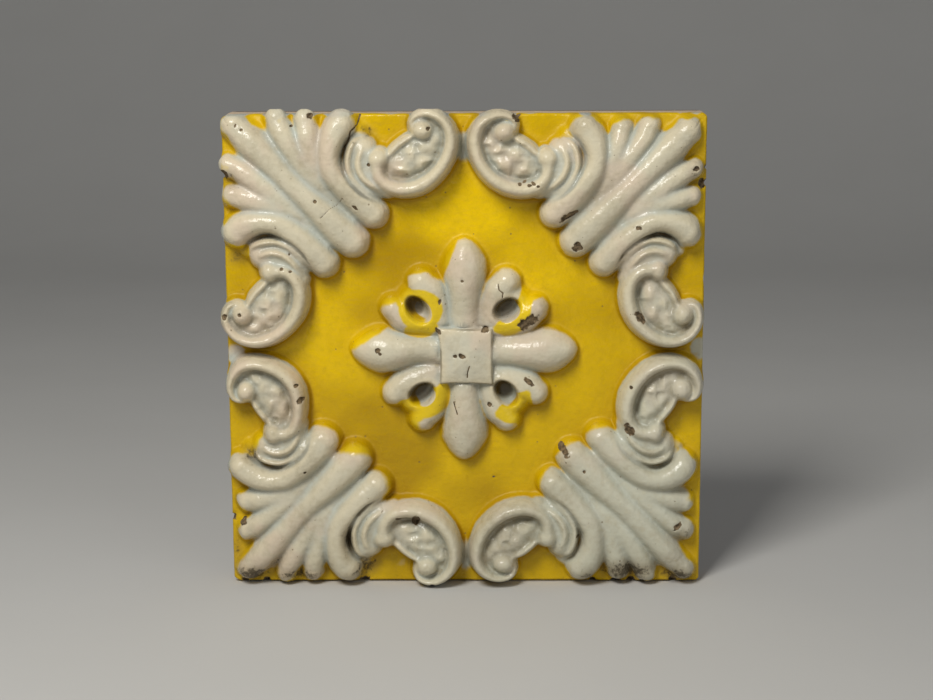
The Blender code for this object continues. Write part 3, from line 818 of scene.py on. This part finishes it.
def film_and_shade_field(x, z, hollow):
    """Grey-brown film and painted shade, from 0 to 1: painted shade in the hollow of each shell and
    towards the bottom, and a thin film in faint clouds.
    """
    _, _, shell = folds_of(x, z)
    clouds = 0.45 * np.clip(0.25 + cloud(x, z, 11.0, 51), 0, 1)
    # Painted shade, darker towards the bottom
    shade_low_down = 0.2 * np.clip(-z / HALF_SIDE, 0, 1)
    # Painted shade in the hollow of each shell, with the film's clouds
    return np.clip(0.8 * shell * eased(hollow, -0.4, 0.9) + clouds + shade_low_down, 0, 1)


def painted_shadow_field(x, z, height):
    """Painted shadow, from 0 to 1: how much relief stands just above and to the left of a place."""
    above = relief(x - 1.3, z + 1.5)
    inland = eased(inset_of(x, z), 2.0, 8.0)
    return np.clip((above - height) / 3, 0, 1) * inland


def yellow_field(x, z):
    """How pale the yellow is, about 0.5 on the whole, with painted light below the top edge: less where
    it is deeper and browner.
    """
    thin = 0.5 + 0.25 * cloud(x, z, 9.0, 61)
    # The patches, with painted light in the paler one below the top edge
    for centre_x, centre_z, radius, amount in YELLOW_PATCHES:
        share = np.clip(1 - ((x - centre_x) ** 2 + (z - centre_z) ** 2) / radius**2, 0, 1)
        thin = thin + amount * share
    return thin


def to_outline(x, z):
    """Pulls the square's corners in to their rounded outline, by a share that grows outwards."""
    x, z = x.copy(), z.copy()
    for (side_x, side_z), radius in CORNER_RADII.items():
        dx = side_x * x - (HALF_SIDE - CORNER_REACH)
        dz = side_z * z - (HALF_SIDE - CORNER_REACH)
        inside = (dx > 0) & (dz > 0)
        longest = np.maximum(np.maximum(dx, dz), 1e-9)
        way_x, way_z = dx / longest, dz / longest
        centre = CORNER_REACH - radius
        in_arc = inside & (way_x * CORNER_REACH > centre) & (way_z * CORNER_REACH > centre)
        a = np.maximum(way_x**2 + way_z**2, 1)
        b = -2 * centre * (way_x + way_z)
        c = 2 * centre**2 - radius**2
        arc = (-b + np.sqrt(np.maximum(b**2 - 4 * a * c, 0))) / (2 * a)
        share = np.where(in_arc, np.minimum(arc / CORNER_REACH, 1), 1.0)
        x = np.where(inside, side_x * (HALF_SIDE - CORNER_REACH + dx * share), x)
        z = np.where(inside, side_z * (HALF_SIDE - CORNER_REACH + dz * share), z)
    return x, z


def overhang(side_x, side_z, along):
    """How far the relief reaches out over one side of the slab, at places along it."""
    corner = HIGH if side_x + side_z > 0 else LOW
    room = abs(corner.x if side_x else corner.z) / MM - HALF_SIDE - BOX_MARGIN
    reach = np.zeros(along.shape)
    still_high = np.ones(along.shape, bool)
    for step in np.linspace(0, max(min(OVERHANG_LIMIT, room), 0), 24):
        out = HALF_SIDE + step
        x = side_x * out + abs(side_z) * along
        z = side_z * out + abs(side_x) * along
        still_high &= relief(x, z) > OVERHANG_FOOT
        reach = np.where(still_high, step, reach)
    return reach * np.clip((HALF_SIDE - CORNER_REACH - np.abs(along)) / 2, 0, 1)


def over_the_sides(x, z):
    """Carries the face's outer band out with the relief that overhangs the sides."""
    line = np.linspace(-HALF_SIDE, HALF_SIDE, FACE_CELLS + 1)
    moved_x, moved_z = x.copy(), z.copy()
    for side_x, side_z in ((1, 0), (-1, 0), (0, 1), (0, -1)):
        inset = HALF_SIDE - (x * side_x + z * side_z)
        along = x * abs(side_z) + z * abs(side_x)
        near = np.clip(1 - inset / OVERHANG_BAND, 0, 1) ** 2
        push = np.interp(along, line, overhang(side_x, side_z, line)) * near
        moved_x += side_x * push
        moved_z += side_z * push
    return moved_x, moved_z


def worn_outline(x, z):
    """Bites and a faint waviness along the edges: the outermost points draw in by that much."""
    out = np.maximum(np.abs(x), np.abs(z))
    near_edge = np.clip((out - HALF_SIDE + 2.5) / 2.5, 0, 1)
    inward = EDGE_WAVE * (1 + cloud(x, z, 5.0, 31))
    for centre_x, centre_z, radius, depth in EDGE_BITES:
        share = np.hypot(x - centre_x, z - centre_z) / radius
        inward = inward + depth * np.clip(1 - share**2, 0, 1) ** 2
    scale = 1 - inward * near_edge / HALF_SIDE
    return x * scale, z * scale


def face_surface(x, z, inset):
    """The finished face: glazed relief, less what is lost, with the glaze's swell and an arris."""
    arris = ARRIS * np.clip(1 - inset / ARRIS, 0, 1) ** 2
    _, lost = damage(x, z)
    swell = 0.09 * cloud(x, z, 4.5, 41) + 0.03 * cloud(x, z, 1.7, 42) - 0.12
    height = softened(pressed(x, z), GLAZE_PASSES)
    _, _, shell = folds_of(x, z)
    crease = 1 - 3 * np.sqrt(0.01 + cloud(x, z, SHELL_CREASE_SWELL, 6) ** 2)
    height = height + SHELL_CREASE * crease * shell * np.clip(7.8 - height, 0, 1)
    height = with_boss(height, x, z)
    height = height - np.minimum(lost, height + 0.6) + swell - arris
    return np.minimum(height, WHOLE_DEPTH - SLAB_DEPTH)


def back_surface(x, z):
    """The bedding face: flat, with shallow rounded keying channels pressed across it."""
    apart, half_width, depth, end = KEYING
    share = np.abs((z + apart / 2) % apart - apart / 2) / half_width
    groove = depth * np.clip(1 - share**2, 0, 1)
    within = np.clip((HALF_SIDE - end - np.maximum(np.abs(x), np.abs(z))) / half_width, 0, 1)
    return -groove * within - BOX_MARGIN / 2


def grid_faces(count, start, flip):
    """Quads of a square grid of count cells whose first point has this index."""
    row = np.arange(count)
    corner = start + row[:, None] * (count + 1) + row[None, :]
    quads = np.stack([corner, corner + count + 1, corner + count + 2, corner + 1], -1).reshape(-1, 4)
    return quads[:, ::-1] if flip else quads


def rim_of(count):
    """Places of a square grid's rim points, in order round it, as (column, row)."""
    go = np.arange(count)
    stay = np.full(count, count)
    zero = np.zeros(count, int)
    columns = np.concatenate([go, stay, count - go, zero])
    rows = np.concatenate([zero, go, stay, count - go])
    return columns, rows


def side_rings(rim, side, back):
    """Rings from the face's rim to the back: a quarter-round tuck to the slab's side, then straight.

    The edge's bites fade out over the front half of the side.
    """
    rings = []
    for step in range(1, TUCK_ROWS + 1):
        turn = step / TUCK_ROWS * math.pi / 2
        inward, downward = 1 - math.cos(turn), math.sin(turn)
        rings.append(side + (rim - side) * np.array([1 - inward, 1 - downward, 1 - inward]))
    for step in range(1, SIDE_ROWS + 1):
        share = step / (SIDE_ROWS + 1)
        healed = min(2 * share, 1)
        rings.append(side + (back - side) * np.array([healed, share, healed]))
    return rings


def clay_body():
    """The closed tile: the face grid, rings down the sides, and a coarser grid for the back."""
    count = FACE_CELLS
    line = np.linspace(-HALF_SIDE, HALF_SIDE, count + 1)
    square_x, square_z = np.meshgrid(line, line, indexing="ij")
    slab_x, slab_z = to_outline(square_x, square_z)
    x, z = over_the_sides(slab_x, slab_z)
    face = face_surface(x, z, inset_of(square_x, square_z))
    x, z = worn_outline(x, z)
    worn_x, worn_z = worn_outline(slab_x, slab_z)
    points = [np.column_stack([x.ravel(), -(SLAB_DEPTH + face).ravel(), z.ravel()])]
    columns, rows = rim_of(count)
    rim_index = columns * (count + 1) + rows
    side_y = np.full(worn_x.size, UNDERCUT - SLAB_DEPTH)
    side = np.column_stack([worn_x.ravel(), side_y, worn_z.ravel()])[rim_index]
    back = np.column_stack([slab_x.ravel(), np.zeros(slab_x.size), slab_z.ravel()])[rim_index]
    rings = [rim_index]
    first = len(points[0])
    for ring in side_rings(points[0][rim_index], side, back):
        points.append(ring)
        rings.append(first + np.arange(len(ring)))
        first += len(ring)
    quads = [grid_faces(count, 0, False)]
    for near, far in zip(rings[:-1], rings[1:]):
        quads.append(np.stack([near, far, np.roll(far, -1), np.roll(near, -1)], -1))
    coarse = count // BACK_SHARE
    back_x, back_z = slab_x[::BACK_SHARE, ::BACK_SHARE], slab_z[::BACK_SHARE, ::BACK_SHARE]
    back_y = back_surface(back_x, back_z)
    points.append(np.column_stack([back_x.ravel(), back_y.ravel(), back_z.ravel()]))
    quads.append(grid_faces(coarse, first, True))
    back_columns, back_rows = rim_of(coarse)
    back_rim = first + back_columns * (coarse + 1) + back_rows
    last = rings[-1].reshape(-1, BACK_SHARE)
    ahead = np.roll(last[:, 0], -1)
    seam = [last[:, 0], back_rim, np.roll(back_rim, -1), ahead]
    seam += [last[:, step] for step in range(BACK_SHARE - 1, 0, -1)]
    return np.concatenate(points), np.concatenate(quads), np.stack(seam, -1)


def thinned_mesh(points, quads, seam):
    """The body as a Blender mesh, thinned where it is nearly flat to the triangles allowed."""
    mesh = bpy.data.meshes.new("tile_clay")
    mesh.vertices.add(len(points))
    mesh.vertices.foreach_set("co", (points * MM).ravel())
    loops = np.concatenate([quads.ravel(), seam.ravel()])
    sizes = np.concatenate([np.full(len(quads), 4), np.full(len(seam), seam.shape[1])])
    mesh.loops.add(len(loops))
    mesh.loops.foreach_set("vertex_index", loops)
    mesh.polygons.add(len(sizes))
    mesh.polygons.foreach_set("loop_start", np.concatenate([[0], np.cumsum(sizes)[:-1]]))
    mesh.update(calc_edges=True)
    guide = bpy.data.objects.new("tile_guide", mesh)
    bpy.context.scene.collection.objects.link(guide)
    thin = guide.modifiers.new("thin", "DECIMATE")
    thin.ratio = KEPT_TRIANGLES / (sizes - 2).sum()
    bpy.context.view_layer.update()
    kept = bpy.data.meshes.new_from_object(guide.evaluated_get(bpy.context.evaluated_depsgraph_get()))
    bpy.data.objects.remove(guide)
    bpy.data.meshes.remove(mesh)
    return kept


def hollow_field(mesh_x, mesh_z):
    """How far a place lies below the relief around it, in millimetres, read from a coarse grid."""
    line = np.linspace(-HALF_SIDE, HALF_SIDE, HOLLOW_CELLS + 1)
    x, z = np.meshgrid(line, line, indexing="ij")
    height = relief(x, z)
    around = height
    for _ in range(HOLLOW_PASSES):
        padded = np.pad(around, 1, mode="edge")
        around = (padded[:-2, 1:-1] + padded[2:, 1:-1] + padded[1:-1, :-2] + padded[1:-1, 2:]) / 4
    hollow = around - height
    last = HOLLOW_CELLS - 0.001
    column = np.clip((mesh_x + HALF_SIDE) / (2 * HALF_SIDE) * HOLLOW_CELLS, 0, last)
    row = np.clip((mesh_z + HALF_SIDE) / (2 * HALF_SIDE) * HOLLOW_CELLS, 0, last)
    i, j = column.astype(int), row.astype(int)
    a, b = column - i, row - j
    low = hollow[i, j] * (1 - a) + hollow[i + 1, j] * a
    high = hollow[i, j + 1] * (1 - a) + hollow[i + 1, j + 1] * a
    return low * (1 - b) + high * b


def write_fields(mesh):
    """Gives the mesh the fields that the glaze reads, worked out at each of its points."""
    flat = np.empty(len(mesh.vertices) * 3)
    mesh.vertices.foreach_get("co", flat)
    x, y, z = flat.reshape(-1, 3).T / MM
    height = relief(x, z)
    hollow = hollow_field(x, z)
    bare, _ = damage(x, z)
    fields = {
        "paint": paint_field(x, z, height),
        "bare": bare - 2 * eased(y + SLAB_DEPTH, 0.5, 3.0),
        "stain": stain_field(x, z),
        "grime_and_shade": grime_and_shade_field(x, z),
        "film_and_shade": film_and_shade_field(x, z, hollow),
        "painted_shadow": painted_shadow_field(x, z, height),
        "pale_yellow": yellow_field(x, z),
        "cool": eased(x - z, -10.0, 110.0),
        "hollow": hollow,
        "height": height,
        "behind": y + SLAB_DEPTH,
    }
    for name, values in fields.items():
        attribute = mesh.attributes.new(name, "FLOAT", "POINT")
        attribute.data.foreach_set("value", values.astype(np.float32))


class Shader:
    """A material's node tree, with short calls to add and join nodes."""

    def __init__(self, name):
        self.material = bpy.data.materials.new(name)
        self.material.use_nodes = True
        self.tree = self.material.node_tree
        self.surface = self.tree.nodes["Principled BSDF"]

    def node(self, kind, inputs=None, **settings):
        made = self.tree.nodes.new("ShaderNode" + kind)
        for key, value in settings.items():
            setattr(made, key, value)
        for key, value in (inputs or {}).items():
            self.set(made.inputs[key], value)
        return made

    def set(self, socket, value):
        if isinstance(value, bpy.types.NodeSocket):
            self.tree.links.new(value, socket)
        else:
            socket.default_value = value

    def field(self, name):
        return self.node("Attribute", attribute_name=name).outputs["Fac"]

    def math(self, operation, first, second=0.0, third=0.0):
        made = self.node("Math", {0: first, 1: second, 2: third}, operation=operation)
        return made.outputs[0]

    def times(self, first, second):
        return self.math("MULTIPLY", first, second)

    def step(self, value, low, high):
        made = self.node("MapRange", {0: value, 1: low, 2: high}, interpolation_type="SMOOTHSTEP")
        return made.outputs[0]

    def noise(self, size, detail=3.0, roughness=0.5, stretch=None):
        """Noise with features of about this size in millimetres, from 0 to 1."""
        place = self.node("TexCoord").outputs["Object"]
        if stretch:
            place = self.node("Mapping", {"Vector": place, "Scale": stretch}).outputs[0]
        settings = {"Vector": place, "Scale": 1 / (size * MM), "Detail": detail, "Roughness": roughness}
        return self.node("TexNoise", settings).outputs["Fac"]

    def specks(self, size, radius):
        """Round specks on a random lattice of this size: 1 inside their radius, 0 outside."""
        place = self.node("TexCoord").outputs["Object"]
        cells = self.node("TexVoronoi", {"Vector": place, "Scale": 1 / (size * MM)})
        return self.step(cells.outputs["Distance"], radius, radius * 0.6), cells.outputs["Color"]

    def mix(self, share, first, second):
        made = self.node("Mix", data_type="RGBA", clamp_factor=True)
        self.set(made.inputs["Factor"], share)
        self.set(made.inputs["A"], first)
        self.set(made.inputs["B"], second)
        return made.outputs["Result"]


def white_glaze(s, broad, fine, hollow):
    """White: warm on the crests, greyer in the hollows with pooled glaze and painted shade, rosy in
    places, cooler and greyer to the lower right, then film, painted shade and painted shadow.
    """
    # Greyer in the hollows: glaze pooled there, and painted shade
    white = s.mix(s.step(hollow, -0.8, 0.9), WHITE_ON_CRESTS, WHITE_POOLED_AND_SHADED)
    white = s.mix(s.times(s.step(broad, 0.46, 0.66), 0.55), white, WHITE_ROSY)
    white = s.mix(s.times(s.field("cool"), 0.65), white, WHITE_COOL)
    white = s.mix(s.times(s.step(fine, 0.45, 0.8), 0.4), white, WHITE_WORN)
    # Film, with painted shade in the shells' hollows and towards the bottom
    mottled = s.math("MULTIPLY_ADD", fine, 1.2, -0.1)
    white = s.mix(s.times(s.field("film_and_shade"), mottled), white, FILM_AND_SHADE_BROWN)
    # Painted shadow below and to the right of the relief
    return s.mix(s.times(s.field("painted_shadow"), 0.36), white, PAINTED_SHADOW_BROWN)


def yellow_glaze(s, fine, hollow):
    """Yellow: brown to pale by its depth, with painted light below the top edge; browner at the
    relief's foot with pooled glaze, painted shade and painted shadow; paler on the crests.
    """
    # Pale where the glaze is thin, and painted light below the top edge
    yellow = s.mix(s.field("pale_yellow"), YELLOW_DEEP, YELLOW_PALE)
    yellow = s.mix(s.times(s.step(fine, 0.4, 0.8), 0.35), yellow, YELLOW_MOTTLED)
    # Browner at the relief's foot: glaze pooled there with painted shade, and the painted shadow
    pooled_and_shaded = s.times(s.step(hollow, 0.4, 1.8), 0.3)
    yellow = s.mix(s.math("MULTIPLY_ADD", s.field("painted_shadow"), 0.45, pooled_and_shaded), yellow, YELLOW_POOLED_AND_SHADED)
    return s.mix(s.times(s.step(s.field("height"), 2.0, 6.0), 0.5), yellow, YELLOW_ON_CRESTS)


def pinholes(s):
    """Small holes in the glaze, 1 inside: two sizes on random lattices, only a few of each kept."""
    holes, pick = s.specks(2.7, 0.13)
    rare = s.step(s.node("SeparateColor", {0: pick}).outputs[0], 0.88, 0.90)
    tiny, tiny_pick = s.specks(1.2, 0.15)
    tiny_rare = s.step(s.node("SeparateColor", {0: tiny_pick}).outputs[1], 0.93, 0.95)
    return s.math("MAXIMUM", s.times(holes, rare), s.times(tiny, tiny_rare))


def stained_share(s, fine, blots, hollow):
    """How dark a stain is, from 0 to 1: its field broken up by two noises, and solid in hollows."""
    broken = s.math("MULTIPLY_ADD", fine, 0.8, s.math("MULTIPLY_ADD", blots, 2.6, -2.3))
    stain_edge = s.math("ADD", s.field("stain"), broken)
    groove = s.times(s.step(hollow, 0.8, 2.2), s.field("stain"))
    return s.math("MAXIMUM", s.step(stain_edge, -0.1, 0.7), groove)


def glazed_earthenware():
    """Tin glaze, white on the relief and yellow on the ground, over buff clay that shows in chips."""
    s = Shader("glazed_earthenware")
    broad, fine, grain = s.noise(14.0), s.noise(2.2, 4.0, 0.6), s.noise(0.5, 3.0, 0.6)
    blots = s.noise(1.2, 3.0, 0.65)
    hollow = s.field("hollow")

    # The two glazes meet in a ragged brushed edge
    edge = s.math("ADD", s.field("paint"), s.math("MULTIPLY_ADD", fine, 2.0, -1.0))
    painted = s.step(edge, -1.2, 1.2)
    glaze = s.mix(painted, white_glaze(s, broad, fine, hollow), yellow_glaze(s, fine, hollow))

    # Dirt and painted shade on the glaze: soft halos, pinholes, grime with painted shade and shadow,
    # and dark stains
    specks = pinholes(s)
    stained = stained_share(s, fine, blots, hollow)
    glaze = s.mix(s.times(s.field("stain"), 0.5), glaze, STAIN_HALO)
    glaze = s.mix(s.times(specks, 0.6), glaze, PINHOLE_BROWN)
    # Grime with painted shade in the folds, painted shadow in the eyelets, and the line at the boss
    glaze = s.mix(s.times(s.field("grime_and_shade"), 0.9), glaze, GRIME_AND_SHADE_DARK)
    glaze = s.mix(s.times(stained, 0.85), glaze, STAIN_DARK)

    # Bare clay in the chips, dark with old dirt in places
    clay = s.mix(s.step(blots, 0.35, 0.65), CHIP_DARK, CHIP_PALE)
    chipped = s.step(s.math("MULTIPLY_ADD", blots, 0.5, s.field("bare")), 0.2, 0.42)
    front = s.mix(chipped, glaze, clay)

    # Behind the arris the glaze ends in an uneven line and the buff clay shows
    buff = s.mix(s.step(fine, 0.3, 0.7), CLAY_DEEP, CLAY_PALE)
    buff = s.mix(s.times(s.step(broad, 0.5, 0.75), 0.5), buff, CLAY_SOILED)
    run = s.math("MULTIPLY_ADD", s.noise(7.0, 2.0, 0.5, (1, 0.2, 1)), -9.0, s.field("behind"))
    unglazed = s.step(run, -1.6, -1.1)
    s.set(s.surface.inputs["Base Color"], s.mix(unglazed, front, buff))

    # The glaze shines, less at the yellow's foot; stains are duller, and clay is matt
    matt = s.math("MAXIMUM", s.math("MAXIMUM", chipped, unglazed), s.times(stained, 0.6))
    dull_foot = s.times(painted, s.step(hollow, 0.0, 0.6))
    gloss = s.math("MULTIPLY_ADD", fine, 0.24, s.math("MULTIPLY_ADD", dull_foot, 0.26, 0.11))
    s.set(s.surface.inputs["Roughness"], s.math("MULTIPLY_ADD", matt, 0.6, gloss))
    s.surface.inputs["IOR"].default_value = 1.5
    s.surface.inputs["Specular IOR Level"].default_value = 0.32

    # Faint waves in the glaze, grain in the clay, and the pinholes' pits
    wave = s.math("MULTIPLY_ADD", s.noise(1.5, 3.0, 0.55), 0.9, s.noise(3.0, 2.0, 0.5))
    rough_clay = s.times(s.times(grain, matt), 0.8)
    surface = s.math("ADD", s.math("ADD", wave, rough_clay), s.times(specks, -0.5))
    bump = s.node("Bump", {"Height": surface, "Strength": 0.9, "Distance": 0.2 * MM})
    s.set(s.surface.inputs["Normal"], bump.outputs[0])
    return s.material


def plain_floor():
    """Pale matt sweep: flat under the tile, rising behind it in a quarter round."""
    width, front, flat, radius, top = 3.0, -2.0, 0.6, 0.5, 2.0
    turn = np.linspace(0, math.pi / 2, 24)
    y = np.concatenate([[front, flat], flat + radius * np.sin(turn[1:]), [flat + radius]])
    z = np.concatenate([[0, 0], radius * (1 - np.cos(turn[1:])), [top]]) + LOW.z
    left = np.column_stack([np.full(len(y), -width), y, z])
    right = np.column_stack([np.full(len(y), width), y, z])
    points = np.concatenate([left, right])
    step = np.arange(len(y) - 1)
    faces = np.stack([step, step + len(y), step + len(y) + 1, step + 1], -1)
    mesh = bpy.data.meshes.new("studio_floor")
    mesh.from_pydata(points.tolist(), [], faces.tolist())
    mesh.shade_smooth()
    floor = bpy.data.objects.new("studio_floor", mesh)
    bpy.context.scene.collection.objects.link(floor)
    s = Shader("pale_floor")
    s.set(s.surface.inputs["Base Color"], s.mix(s.noise(60.0), *FLOOR_SHADES))
    s.surface.inputs["Roughness"].default_value = 0.8
    mesh.materials.append(s.material)


def softbox(name, place, target, size, power, colour):
    """A rectangular light at a place, turned towards a target."""
    light = bpy.data.lights.new(name, "AREA")
    light.shape = "RECTANGLE"
    light.size, light.size_y = size
    light.energy = power
    light.color = colour
    lamp = bpy.data.objects.new(name, light)
    lamp.location = place
    lamp.rotation_euler = (Vector(target) - Vector(place)).to_track_quat("-Z", "Y").to_euler()
    bpy.context.scene.collection.objects.link(lamp)


def lights():
    """A window-like key close by from the upper left, a broad fill, and a pale room."""
    softbox("key", (-0.19, -0.45, 0.47), (0, 0, 0.03), (0.2, 0.26), 3.7, (1.0, 0.99, 0.95))
    softbox("fill", (0.9, -1.0, 0.4), (0, 0, 0), (0.9, 0.9), 2.4, (0.97, 0.98, 1.0))
    world = bpy.data.worlds.new("studio")
    world.use_nodes = True
    world.node_tree.nodes["Background"].inputs["Color"].default_value = (0.96, 0.98, 1.0, 1)
    world.node_tree.nodes["Background"].inputs["Strength"].default_value = 0.17
    bpy.context.scene.world = world


def camera():
    """The photograph's view: a little above the tile, looking down about eleven degrees."""
    image_width, focal_pixels = 933, 1948
    lens = bpy.data.cameras.new("camera")
    lens.sensor_width = 36.0
    lens.lens = focal_pixels / image_width * lens.sensor_width
    lens.clip_end = 20.0
    view = bpy.data.objects.new("camera", lens)
    view.location = (8.1 * MM, -574.0 * MM, 111.1 * MM)
    pitch, yaw, roll = math.radians(11.1), math.radians(-0.78), math.radians(-0.25)
    view.rotation_euler = Euler((math.pi / 2 - pitch, 0, -yaw), "XYZ")
    view.rotation_euler.rotate_axis("Z", roll)
    bpy.context.scene.collection.objects.link(view)
    bpy.context.scene.camera = view


def tile():
    """The glazed tile, one closed piece that stands for the whole solid."""
    mesh = thinned_mesh(*clay_body())
    mesh.name = "glazed_tile"
    write_fields(mesh)
    mesh.shade_smooth()
    mesh.materials.clear()
    mesh.materials.append(glazed_earthenware())
    piece = bpy.data.objects.new("glazed_tile", mesh)
    bpy.context.scene.collection.objects.link(piece)
    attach(piece, "root")
    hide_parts("relief_tile")


camera()
lights()
plain_floor()
tile()
bpy.context.scene.view_settings.view_transform = "Standard"
